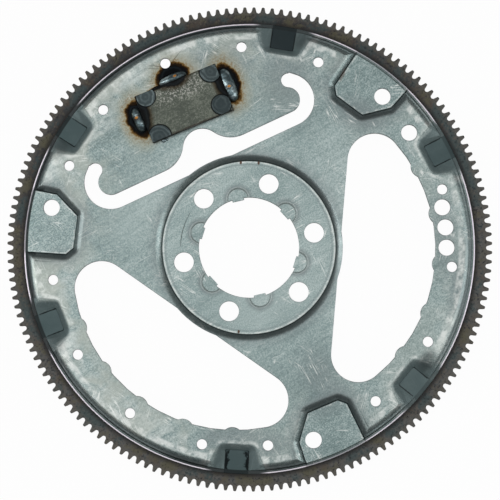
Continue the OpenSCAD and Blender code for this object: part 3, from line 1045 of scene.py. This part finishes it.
    def land_distance(self, out: Num, side: Num) -> tuple[Num, Num]:
        """Places round the nearer weld land.

        Args:
            out: Outward coordinate in the sector.
            side: Anticlockwise coordinate in the sector.

        Returns:
            Share of the way up the land's flared ramp, 0 at its creases and 1 at the web,
            and distance from its two side creases.
        """
        shares, creases = [], []
        top_in = self.land_in - self.land_spread_in
        flare = (self.land_spread_out - self.land_spread_in) / (self.land_end - top_in)
        for degrees in self.land_angles:
            turn = math.radians(degrees)
            far = out * math.cos(turn) + side * math.sin(turn)
            across = abs(side * math.cos(turn) - out * math.sin(turn)) - self.land_half
            ramp = (far - top_in).most(0.0) * flare + self.land_spread_in
            flank = (across / ramp).most(0.0) ** self.land_corner
            end = ((self.land_in - far) / self.land_spread_in).most(0.0) ** self.land_corner
            shares.append((flank + end) ** (1 / self.land_corner))
            creases.append(
                abs(across).most(self.land_line_in - far).most(far - self.land_line_out)
            )
        return reduce(Num.least, shares), reduce(Num.least, creases)

    def material(self) -> bpy.types.Material:
        """Bare steel with its grain, scuffs, grime, heat tints and soot, and painted shade, light
        and highlights.
        """
        graph = Graph("plate_steel_worn")
        steel = self.steel
        radius = graph.radius()
        out, side = self.folded(graph, radius, self.pad_angle, self.fold_start, self.sector)
        flecks, grain = graph.noise(steel.flecks), graph.noise(steel.grain)
        smears = graph.noise(steel.smears)
        mottle = flecks.swing(steel.fleck_tone) + grain.swing(steel.grain_tone)
        mottle = mottle * radius.ramp(*self.grainy_out).between(steel.inner_mottle, 1.0)
        tone = graph.noise(steel.clouds).swing(steel.cloud_tone) + mottle + steel.tone
        tone = tone + smears.swing(steel.smear_tone)
        tone = tone + radius.fade(*self.hub_near) * steel.hub_tone
        sheet = Surface(graph, graph.colours(tone, steel.stops), steel.bare, flecks)
        on_web = (graph.z - self.web).ramp(*self.web_below)
        land, crease = self.land_distance(out, side)
        at = PlatePoint(
            graph, sheet, radius, self.pad_distance(out, side), land, crease, flecks, on_web
        )
        # Painted shade: darker patches, which keep the scuffs off.
        painted_shade = graph.spots(self.painted_shade, *self.mark_fade)
        sheet.layer(painted_shade * flecks.between(*steel.fleck_share), steel.painted_shade)
        # Painted light over the lighter patches.
        sheet.layer(graph.spots(self.painted_light, *self.mark_fade), steel.painted_light)
        # Painted highlights, in streaks, on the web.
        streaks = (smears * 0.5 + flecks * 0.5).ramp(*steel.sheen_streaks)
        sheet.layer(graph.spots(self.painted_sheen, *self.sheen_fade) * on_web * streaks, steel.painted_sheen)
        self.scuff_and_sheen(at, on_web * (1 - painted_shade * steel.shade_cover))
        self.form_shade(at)
        self.land_heat_and_shade(at)
        self.crease_shade_and_grime(at)
        self.rim(at)
        sheet.layer(graph.upright(), steel.cut_edge)
        self.weld_heat(at)
        relief = grain * steel.grain_relief + flecks * (1 - steel.grain_relief)
        return sheet.close(relief)

    def scuff_and_sheen(self, at: PlatePoint, clean: Num) -> None:
        """Adds warm wear and pale scuffs, painted brighter on one side, painted highlights by the
        rolls, and fine scratches.

        Args:
            at: What the layers share.
            clean: Mask of the web outside the darker patches of painted shade.
        """
        graph, steel = at.graph, self.steel
        # Painted light: the wear and the scuffs are made brighter towards one side.
        side = graph.towards(self.brighter_side).ramp(*self.worn_rise)
        worn = graph.patches(steel.wear) * at.radius.ramp(*self.worn_out)
        at.sheet.layer(worn * clean * side.between(0.2, 0.65), steel.warm)
        near_form = at.pad.band(*self.pad_scuff).most(at.land.band(*self.land_scuff))
        near_form = near_form * at.radius.ramp(*self.form_out) * 0.8
        where = (at.radius.band(*self.rim_scuff) * 0.7).most(near_form) + self.scuff_least
        patches = graph.patches(steel.scuffs) * where * side.between(0.5, 1.0)
        at.sheet.layer(patches * clean, steel.scuff_and_sheen)
        # Painted highlights, in patches, on the shoulders of the rim's roll and of the lands'
        # ramps.
        by_land = at.land.band(*self.land_shoulder) * at.radius.ramp(*self.shoulder_out)
        shoulder_highlight = at.radius.band(*self.rim_shoulder).most(by_land) * graph.patches(steel.highlight_patches)
        shoulder_highlight = shoulder_highlight * at.land.ramp(*self.off_land) * at.pad.ramp(*self.off_pad)
        at.sheet.layer(shoulder_highlight, steel.shoulder_highlight)
        lines = []
        for turn, shift in steel.stroke_turns:
            stroke = graph.noise(replace(steel.strokes, turn=turn, shift=shift))
            place = replace(steel.stroke_places, turn=turn, shift=shift * steel.place_shift)
            lines.append(stroke.band(*steel.stroke_line) * graph.patches(place))
        at.sheet.layer(reduce(Num.most, lines), steel.scratch)

    def form_shade(self, at: PlatePoint) -> None:
        """Adds painted shade on the drawn rolls, deepest at their creases and lighter facing the
        lit side.
        """
        graph, steel = at.graph, self.steel
        slope = graph.slope()
        outside = at.land.ramp(*self.land_rim)
        # Painted shade is lighter where a roll faces the lit side.
        shady = graph.facing(self.lit_side).ramp(*self.lit_lean).between(1.0, 0.25)
        hub = at.radius - self.hub_r
        hub = hub.ramp(*self.crease_rise) * hub.fade(*self.hub_roll)
        pads = at.pad.ramp(*self.crease_rise) * at.pad.fade(*self.pad_roll)
        pads = pads * at.radius.ramp(*self.pads_out)
        rolls = slope.ramp(*self.shade_lean) * at.radius.ramp(*self.shade_out) * outside
        painted_roll_shade = (rolls * 0.6).most(hub * 0.68).most(pads * 0.72)
        # Painted shade on the rolls of the hub, the pads and the other forms.
        at.sheet.layer(painted_roll_shade * shady * at.flecks.between(0.55, 1.25), steel.painted_roll_shade)
        out, side = self.folded(graph, at.radius, 0.0, -self.tab_sector / 2, self.tab_sector)
        out = out - self.bore_r
        tab = (out * out + side * side) ** 0.5 - self.tab_r
        # Painted shadow round the bore's tabs, and a painted highlight on their edges.
        halo = tab.ramp(*self.tab_rise) * tab.fade(*self.tab_fade)
        at.sheet.layer(halo * at.flecks.between(0.15, 1.35), steel.painted_shade)
        at.sheet.layer(tab.band(*self.tab_line), steel.tab_edge)
        # Painted shade on the rim's roll, darker away from the lit side.
        rim = slope.ramp(*self.roll_lean) * at.radius.ramp(*self.roll_out) * outside
        at.sheet.layer(rim * self.lit_share(graph).between(0.8, 0.1), steel.roll)

    def lit_share(self, graph: Graph) -> Num:
        """How far a place lies towards the lit side, where painted shade is lighter, from 0 to 1.
        """
        side = graph.towards(self.lit_side).ramp(*self.lit_rise)
        return side.most(graph.spots(self.pale_rim, 0.5, 1.1))

    def crease_shade_and_grime(self, at: PlatePoint) -> None:
        """Adds each crease's dark line of grime and painted shade, its bright edge, a painted
        highlight on burnished metal, and a scratched arc on the hub.
        """
        graph, steel, flecks = at.graph, self.steel, at.flecks
        hub = at.radius - self.hub_r
        inside = (at.radius - self.plate_r).fade(*self.pad_line_end)
        inside = inside * at.radius.ramp(*self.pad_line_out)
        shake = flecks.swing(self.wobble)
        pad_line = (at.pad + shake).band(*self.pad_line) * inside
        land_line = (at.crease + shake * 1.2).fade(0.0, 0.7)
        # Painted highlights on burnished metal just inside the pad and hub creases.
        pad_edge = at.pad.band(*self.pad_edge) * inside * flecks.ramp(0.42, 0.62)
        at.sheet.layer(pad_edge, steel.pad_edge)
        at.sheet.layer(hub.band(*self.hub_inner), steel.hub_inner)
        hub_edge = hub.band(*self.hub_edge) * flecks.ramp(0.4, 0.6).between(0.25, 0.65)
        at.sheet.layer(hub_edge, steel.hub_edge)
        nick = graph.ellipse(self.nick).fade(*self.burn_fade)
        nick = at.radius.band(*self.nick_line) * nick * flecks.ramp(0.3, 0.55)
        # Dark crease lines: grime and painted shade.
        lines = (pad_line * 0.85).most(hub.band(*self.hub_line) * 0.6)
        at.sheet.layer(lines.most(land_line * 0.9).most(nick * 0.8), steel.crease)

    def land_spot(self, degrees: float, size: float, strength: float = 1.0) -> Spot:
        """A round mark of that size in the middle of the land at an angle."""
        turn = math.radians(degrees)
        middle = (self.land_in + self.plate_r) / 2
        x, y = middle * math.cos(turn), middle * math.sin(turn)
        return Spot(x, y, size, size, strength=strength)

    def land_heat_and_shade(self, at: PlatePoint) -> None:
        """Darkens the weld lands, each by its own weld's heat, and darkens their ramps with heat
        tint and painted shade.
        """
        graph, heat, land, flecks = at.graph, self.heat, at.land, at.flecks
        clouds = graph.noise(heat.clouds)
        # The ramps' darkening is partly heat tint, partly painted shade.
        pocket = (land + flecks.swing(0.2)).fade(*self.pocket_fade)
        at.sheet.layer(pocket * clouds.between(0.63, 1.13), heat.ramp)
        burns = tuple(self.land_spot(turn, self.burn_r, share) for turn, share in self.land_burns)
        burn = graph.spots(burns, *self.burn_fade) + clouds.swing(0.5)
        at.sheet.layer(land.fade(*self.floor_fade) * burn, heat.land)
        dark = graph.ellipse(self.land_spot(self.dark_land, self.mark_r)).fade(*self.burn_fade)
        at.sheet.layer(land.fade(*self.dark_fade) * dark, heat.dark_land)
        striped = graph.ellipse(self.land_spot(self.striped_land, self.mark_r))
        ragged = (at.crease + flecks.swing(10.0)).fade(1.6, 3.0) * land.fade(0.0, 0.05)
        at.sheet.layer(ragged * striped.fade(*self.stripe_fade), heat.stripe)
        smoked = graph.spots(self.sooty, 0.3, 1.1) * land.ramp(*self.dark_fade)
        at.sheet.layer(smoked * flecks.between(*self.steel.fleck_share), self.steel.smoke)

    def rim(self, at: PlatePoint) -> None:
        """Adds painted shade on the flange, darker away from the lit side, and a painted highlight
        along its outermost edge.
        """
        height = at.graph.z
        # Painted shade on the flange, darker away from the lit side.
        flange = (at.radius - self.rim_r).ramp(*self.flange_in) * height.fade(*self.flange_top)
        lit = self.lit_share(at.graph).between(0.95, 0.45)
        at.sheet.layer(flange * lit, self.steel.flange)
        # Painted highlight along the flange's outer edge.
        edge = (at.radius - self.plate_r).band(*self.rim_line) * height.ramp(*self.rim_top)
        clear = at.land.ramp(0.6, 1.2) * at.pad.ramp(-1.0, 3.0).between(0.4, 1.0)
        at.sheet.layer(edge * clear, self.steel.rim_line)

    def weld_heat(self, at: PlatePoint) -> None:
        """Adds soot, brown and gold round the weight's weld beads, and rust dots."""
        graph, heat, on_web = at.graph, self.heat, at.on_web
        near = TONGUE.soot(graph, self.soot_shake, 0.55)
        seam = TONGUE.edge_distance(graph) + graph.noise(heat.seam_shake).swing(2.0)
        speckles = graph.patches(heat.speckles) * on_web
        at.sheet.layer(near.fade(*self.halo_fade) * on_web, heat.halo)
        at.sheet.layer(near.fade(*self.speckle_fade) * speckles, heat.speckle)
        at.sheet.layer(seam.ramp(*self.seam_rise) * on_web, heat.seam)
        at.sheet.layer(near.fade(*self.burnt_fade) * on_web, heat.burn(near, 0.5))
        stain = graph.ellipse(self.stain) + graph.noise(heat.stain_shake).swing(1.2)
        stain = stain.fade(*self.stain_fade) * self.stain.strength
        at.sheet.layer(graph.spots(self.rust_dots, *self.dot_fade).most(stain), heat.rust)


@dataclass
class RingGear:
    """The toothed ring under the plate's rim."""

    finish: GearFinish = GearFinish()
    join: float = 0.002
    smooth_angle: float = 30.0
    edge_break: float = 0.22
    edge_angle: float = 60.0
    root_r: float = 171.3
    plate_r: float = 163.0
    shaded_side: float = 76.0
    dark_fade: Span = (-30.0, 120.0)
    root_rise: Span = (-3.0, 1.0)
    rim_shadow: Span = (0.5, 4.6)

    def build(self, node: bpy.types.Object) -> Piece:
        """Makes the gear's piece from its CAD node."""
        piece = Piece.from_node(node, "toothed_ring", "gear_steel", self.join)
        piece.smooth(self.smooth_angle)
        piece.ease_edges(self.edge_break, self.edge_angle).weigh_normals()
        return piece.finish(self.material(), "ring_gear")

    def material(self) -> bpy.types.Material:
        """Dark scaled steel, lighter on the teeth, with rust and temper tints."""
        graph = Graph("gear_steel_dark")
        finish = self.finish
        radius = graph.radius()
        clouds, flecks = graph.noise(finish.clouds), graph.noise(finish.flecks)
        tints = graph.noise(finish.tints) + flecks.swing(0.3)
        ring = Surface(graph, finish.face, finish.bare, flecks)
        # Painted light: pale flecks, fewer towards the shaded side.
        lit = graph.towards(self.shaded_side).fade(*self.dark_fade)
        ring.layer(lit * flecks.between(*finish.pale_flecks), finish.pale)
        ring.layer((clouds + flecks.swing(0.5)).ramp(*finish.rust_rise), finish.rust)
        ring.layer(tints.ramp(*finish.olive_rise), finish.olive)
        ring.layer(tints.fade(*finish.teal_fade), finish.teal)
        teeth = (radius - self.root_r + flecks.swing(4.0)).ramp(*self.root_rise)
        ring.layer(teeth, finish.worn_teeth)
        ring.layer(flecks.ramp(*finish.worn_rise), finish.worn)
        ring.layer(flecks.fade(*finish.pit_fade), finish.pit)
        shadow = (radius - self.plate_r + clouds.swing(3.0)).fade(*self.rim_shadow)
        ring.layer(shadow, finish.under_rim)
        return ring.close(graph.noise(finish.grain) * 0.5 + flecks * 0.5)


@dataclass
class BalanceWeight:
    """The rectangular weight on the tongue.

    Each electrode mark has its place along and across the weight, its radius and its lightness.
    """

    finish: WeightFinish = WeightFinish()
    heat: HeatFinish = HeatFinish()
    edge: float = 0.5
    smooth_angle: float = 40.0
    marks: tuple[tuple[float, float, float, float], ...] = (
        (23.7, 14.6, 7.2, 0.62),
        (-26.1, 13.9, 7.9, 0.5),
        (-24.6, -11.4, 7.4, 0.22),
        (24.9, -15.6, 8.4, 0.34),
    )
    speck_area: tuple[float, float, float, float] = (-2.0, 11.0, 27.0, 10.0)
    speck_fade: Span = (0.4, 1.2)
    edge_fade: Span = (0.3, 1.4)
    brown_fade: Span = (0.95, 1.25)
    burnt_fade: Span = (0.78, 1.05)
    burnt_size: float = 0.88
    mark_fade: Span = (0.94, 1.0)
    mark_line: Stripe = (1.0, 0.025, 0.06)
    ring_turns: float = 15.0
    ring_rise: Span = (0.3, 0.8)
    mark_depth: float = 3.0

    def build(self) -> Piece:
        """Models the weight as a sawn bar with broken edges."""
        mesh = bmesh.new()
        size = Vector((TONGUE.width, TONGUE.length, TONGUE.thick))
        bmesh.ops.create_cube(mesh, size=1.0)
        bmesh.ops.scale(mesh, vec=size, verts=mesh.verts)
        bmesh.ops.translate(mesh, vec=(0.0, 0.0, TONGUE.thick / 2), verts=mesh.verts)
        bmesh.ops.bevel(
            mesh, geom=list(mesh.edges), offset=self.edge, offset_type="OFFSET", segments=2,
            profile=0.5, affect="EDGES", material=-1,
        )
        bmesh.ops.transform(mesh, matrix=TONGUE.matrix(), verts=mesh.verts)
        piece = Piece("weight_bar", "weight_steel", mesh)
        piece.smooth(self.smooth_angle).weigh_normals()
        return piece.finish(self.material(), "balance_weight")

    def material(self) -> bpy.types.Material:
        """Grey scale worn in specks, with electrode marks, weld soot and heat tints."""
        graph = Graph("weight_steel_scaled")
        finish, heat = self.finish, self.heat
        clouds, flecks = graph.noise(finish.clouds), graph.noise(finish.flecks)
        grain, streaks = graph.noise(finish.grain), graph.noise(finish.streaks)
        bar = Surface(graph, finish.scale, finish.bare, flecks)
        worn = flecks * 0.5 + streaks * 0.5 + clouds.swing(0.4) + grain.swing(0.3)
        bar.layer(worn.ramp(*finish.worn_rise), finish.worn)
        rimward = graph.ellipse(TONGUE.spot(*self.speck_area)).fade(*self.speck_fade)
        specks = (flecks + grain.swing(0.7) + clouds.swing(0.3)).ramp(*finish.speck_rise)
        bar.layer(specks * rimward.between(*finish.speck_share), finish.speck)
        edge = TONGUE.edge_distance(graph) + flecks.swing(1.5)
        bar.layer(edge.fade(*self.edge_fade), heat.bar_seam)
        near = TONGUE.soot(graph, finish.soot_shake, 0.45)
        bar.layer(near.fade(*self.brown_fade), heat.bar_brown)
        bar.layer(near.fade(*self.burnt_fade), heat.burn(near * self.burnt_size, 0.45, 0.95))
        relief = grain * 0.4 + flecks * 0.6
        for along, out, size, light in self.marks:
            disc = graph.ellipse(TONGUE.spot(along, out, size, size))
            inside = disc.fade(*self.mark_fade)
            swirl = disc * self.ring_turns + clouds.swing(26.0) + flecks.swing(4.0)
            rings = graph.math(Op.SINE, swirl).between(0.5, 1.0) ** 2.0
            rings = rings * disc.ramp(*self.ring_rise).between(0.25, 1.0)
            glint = rings * light * flecks.between(0.4, 1.3) + clouds.between(0.1, 0.4) * light
            colour = graph.mix(glint, finish.mark, finish.ring)
            bar.layer(inside, Coat(colour, finish.mark_rough, finish.mark_metal))
            bar.layer(disc.band(*self.mark_line), heat.stripe)
            relief = relief + inside * (rings * 1.5 - self.mark_depth)
        bar.layer(graph.upright(), finish.edge)
        return bar.close(relief)


@dataclass
class WeldBead:
    """One arc-weld bead along an edge of the weight, with overlapping ripples."""

    name: str
    node: str
    along: float
    out: float
    facing: float
    length: float
    reach: float
    lap: float
    crown: float = 0.6
    centre_share: float = 0.3
    sunk: float = 0.4
    pitch: float = 2.3
    ripple: float = 0.01
    lump: float = 0.04
    lump_turn: float = 0.6
    body: float = 0.94
    end_least: float = 0.05
    end_power: int = 3
    sides: int = 28
    steps: int = 60
    smooth_angle: float = 50.0

    def build(self, material: bpy.types.Material) -> Piece:
        """Models the bead as a rippled bar that laps over the weight's edge."""
        mesh = bmesh.new()
        start = bmesh.ops.create_circle(mesh, cap_ends=True, segments=self.sides, radius=1.0)
        rim = start["verts"]
        upright = Matrix.Rotation(math.pi / 2, 3, "X")
        bmesh.ops.rotate(mesh, cent=(0, 0, 0), matrix=upright, verts=rim)
        middle = TONGUE.thick * self.centre_share
        tall = TONGUE.thick + self.crown - middle
        size = self.width_at(0.0)
        across = (self.reach + self.lap) / 2 * size
        bmesh.ops.scale(mesh, vec=(across, 1, tall * size), verts=rim)
        bmesh.ops.translate(mesh, vec=(0, -self.length / 2, 0), verts=rim)
        face = mesh.faces[:][0]
        for step in range(1, self.steps + 1):
            face = bmesh.ops.extrude_discrete_faces(mesh, faces=[face])["faces"][0]
            wide = self.width_at(step / self.steps)
            bmesh.ops.translate(mesh, vec=(0, self.length / self.steps, 0), verts=face.verts)
            bmesh.ops.scale(mesh, vec=(wide / size, 1, wide / size), verts=face.verts)
            size = wide
        shift = ((self.reach - self.lap) / 2, 0, middle)
        bmesh.ops.translate(mesh, vec=shift, verts=mesh.verts)
        self.trim(mesh, Vector((0, 0, -self.sunk)), Vector((0, 0, -1)))
        bmesh.ops.recalc_face_normals(mesh, faces=mesh.faces)
        turn = Matrix.Rotation(math.radians(self.facing), 4, "Z")
        place = TONGUE.matrix() @ Matrix.Translation((self.out, self.along, 0.0)) @ turn
        bmesh.ops.transform(mesh, matrix=place, verts=mesh.verts)
        piece = Piece(self.name, "weld_metal", mesh)
        piece.smooth(self.smooth_angle)
        return piece.finish(material, self.node)

    def width_at(self, share: float) -> float:
        """Share of the full radius at a share of the length: round ends, lumps and ripples."""
        middle = abs(2.0 * share - 1.0)
        round_end = math.sqrt(max(1.0 - middle ** self.end_power, 0.0))
        place = share * self.length
        lumps = math.sin(place * self.lump_turn + self.length) * self.lump
        ripple = math.sin(place / self.pitch * math.tau) * self.ripple
        bar = self.body + lumps * (1.0 - middle) + ripple
        return (round_end * self.body + self.end_least) * bar

    @staticmethod
    def trim(mesh: bmesh.types.BMesh, at: Vector, outside: Vector) -> None:
        """Cuts away what lies past a plane, and closes the cut.

        Args:
            mesh: The bead.
            at: A point of the plane.
            outside: Direction in which the cut-away side lies.
        """
        cut = bmesh.ops.bisect_plane(
            mesh, geom=mesh.verts[:] + mesh.edges[:] + mesh.faces[:], dist=1e-5,
            plane_co=at, plane_no=outside, clear_outer=True,
        )
        edges = [item for item in cut["geom_cut"] if isinstance(item, bmesh.types.BMEdge)]
        bmesh.ops.contextual_create(mesh, geom=edges)


@dataclass
class WeldMetal:
    """The finish of beads and spatter, with the places of the beads' rusty craters."""

    finish: BeadFinish = BeadFinish()
    heat: HeatFinish = HeatFinish()
    craters: tuple[tuple[float, float], ...] = ((-1.3, 20.8), (-34.8, -1.2), (35.7, 3.3))
    crater_size: Span = (1.5, 1.0)
    crater_line: Stripe = (1.5, 0.1, 0.4)
    crater_fade: Span = (0.6, 1.1)

    def material(self) -> bpy.types.Material:
        """Blue-grey metal with slag between its ripples, and a rust spot in each crater."""
        graph = Graph("weld_metal_blued")
        finish, heat = self.finish, self.heat
        flecks, clouds = graph.noise(finish.flecks), graph.noise(finish.clouds)
        bead = Surface(graph, finish.base, finish.bare, flecks)
        # Painted highlights in bright patches.
        bead.layer((clouds + flecks.swing(0.5)).ramp(*finish.crest_highlight_rise), finish.crest_highlight)
        bead.layer((clouds + flecks.swing(0.4)).fade(*finish.slag_fade), finish.slag)
        for along, out in self.craters:
            crater = graph.ellipse(TONGUE.spot(along, out, *self.crater_size))
            crater = crater + flecks.swing(0.8)
            bead.layer(crater.band(*self.crater_line), heat.crater)
            bead.layer(crater.fade(*self.crater_fade), heat.spark)
        return bead.close(graph.noise(finish.grain) * 0.5 + flecks * 0.5)


@dataclass
class Spatter:
    """Small drops of weld metal beside the weight: their places on it and radii."""

    drops: tuple[tuple[float, float, float], ...] = ((23.7, -18.8, 1.5), (21.2, -19.2, 0.8))
    squash: tuple[float, float, float] = (1.0, 1.3, 0.7)
    lift: float = 0.45
    fineness: int = 3
    smooth_angle: float = 180.0

    def build(self, material: bpy.types.Material) -> Piece:
        """Models the drops as flattened beads on the web."""
        mesh = bmesh.new()
        for along, out, radius in self.drops:
            made = bmesh.ops.create_icosphere(mesh, subdivisions=self.fineness, radius=radius)
            drop = made["verts"]
            bmesh.ops.scale(mesh, vec=self.squash, verts=drop)
            bmesh.ops.translate(mesh, vec=(out, along, self.lift * radius), verts=drop)
        bmesh.ops.transform(mesh, matrix=TONGUE.matrix(), verts=mesh.verts)
        piece = Piece("weld_spatter", "weld_metal", mesh)
        piece.smooth(self.smooth_angle)
        return piece.finish(material)


@dataclass(frozen=True)
class SoftBox:
    """One soft light: its place in metres to the photo's right, up and viewer, size and watts."""

    name: str
    at: tuple[float, float, float]
    size: tuple[float, float]
    power: float


@dataclass
class Studio:
    """Pale floor, soft lights and the camera, in metres, with the camera's turn in radians."""

    camera_at: tuple[float, float, float] = (-0.0239, -0.0653, 1.2498)
    camera_turn: tuple[float, float, float] = (0.0504, 0.0210, -0.7456)
    focal_px: float = 1714.5
    image_px: float = 500.0
    sensor: float = 36.0
    photo_turn: float = -42.7
    world_level: float = 0.12
    floor_white: float = 0.97
    floor_r: float = 12.0
    floor_below: float = 0.0002
    floor_matt: Colour = (0.9, 0.9, 0.9)
    white: Colour = (1.0, 1.0, 1.0)
    boxes: tuple[SoftBox, ...] = (
        SoftBox("overhead", (-0.15, 0.1, 2.3), (2.2, 2.0), 12.5),
        SoftBox("strip_right", (1.5, -0.1, 1.35), (0.6, 1.8), 9.0),
        SoftBox("strip_left", (-1.6, 0.1, 1.5), (0.6, 1.8), 11.0),
    )

    def build(self) -> None:
        """Sets up the view, the world, the floor, the lights and the camera."""
        scene = bpy.context.scene
        scene.view_settings.view_transform = "Standard"
        self.world(scene)
        self.floor()
        for box in self.boxes:
            self.soft_box(box)
        self.camera(scene)

    def world(self, scene: bpy.types.Scene) -> None:
        """An even grey surround."""
        world = bpy.data.worlds.new("studio")
        scene.world = world
        world.use_nodes = True
        back = world.node_tree.nodes["Background"]
        back.inputs["Color"].default_value = (*self.white, 1.0)
        back.inputs["Strength"].default_value = self.world_level

    def floor(self) -> None:
        """A white floor under the part that keeps a faint shadow."""
        mesh = bmesh.new()
        bmesh.ops.create_circle(mesh, cap_ends=True, segments=64, radius=self.floor_r)
        bmesh.ops.translate(mesh, vec=(0.0, 0.0, -self.floor_below), verts=mesh.verts)
        item = add_mesh("floor", mesh)
        graph = Graph("floor_white")
        path = graph.node("ShaderNodeLightPath")
        rays = ("Is Camera Ray", "Is Glossy Ray", "Is Transmission Ray")
        seen = reduce(Num.most, [Num(graph, path.outputs[ray]) for ray in rays])
        matt = graph.node("ShaderNodeBsdfDiffuse", {}, {"Color": self.floor_matt})
        glow = graph.node("ShaderNodeEmission", {}, {"Color": self.white, "Strength": 1.0})
        shares = {0: seen * self.floor_white, 1: matt.outputs[0], 2: glow.outputs[0]}
        both = graph.node("ShaderNodeMixShader", {}, shares)
        graph.node("ShaderNodeOutputMaterial", {}, {"Surface": both.outputs[0]})
        item.data.materials.append(graph.material)

    def soft_box(self, box: SoftBox) -> None:
        """Adds one soft light that faces the part."""
        lamp = bpy.data.lights.new(box.name, "AREA")
        lamp.shape = "RECTANGLE"
        lamp.size, lamp.size_y = box.size
        lamp.energy = box.power
        item = add_object(box.name, lamp)
        place = Matrix.Rotation(math.radians(self.photo_turn), 3, "Z") @ Vector(box.at)
        item.location = place
        item.rotation_euler = (-place).to_track_quat("-Z", "Y").to_euler()

    def camera(self, scene: bpy.types.Scene) -> None:
        """Places the camera where the photo was taken from."""
        lens = bpy.data.cameras.new("camera")
        lens.sensor_width = self.sensor
        lens.lens = self.focal_px / self.image_px * self.sensor
        item = add_object("camera", lens)
        item.location = self.camera_at
        item.rotation_euler = Euler(self.camera_turn, "XYZ")
        scene.camera = item


def clear_scene() -> None:
    """Removes whatever a new file holds."""
    for item in list(bpy.data.objects):
        bpy.data.objects.remove(item)


def main() -> None:
    """Builds the part's pieces round the frame, then the studio."""
    logging.basicConfig(level=logging.INFO, format="%(message)s")
    clear_scene()
    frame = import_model()
    nodes = frame["nodes"]
    StampedPlate().build(nodes["stamped_plate"])
    RingGear().build(nodes["ring_gear"])
    BalanceWeight().build()
    metal = WeldMetal().material()
    half, wide = TONGUE.length / 2, TONGUE.width / 2
    for bead in (
        WeldBead(
            "bead_left_end", "weight_weld_left_end",
            along=half, out=1.6, facing=90.0, length=18.0, reach=7.2, lap=0.8,
        ),
        WeldBead(
            "bead_top_edge", "weight_weld_top_edge",
            along=0.8, out=wide, facing=0.0, length=21.0, reach=5.6, lap=2.0,
        ),
        WeldBead(
            "bead_right_end", "weight_weld_right_end",
            along=-half, out=0.4, facing=-90.0, length=25.0, reach=8.4, lap=2.0,
        ),
    ):
        bead.build(metal)
    Spatter().build(metal)
    Studio().build()


if __name__ == "__main__":
    main()
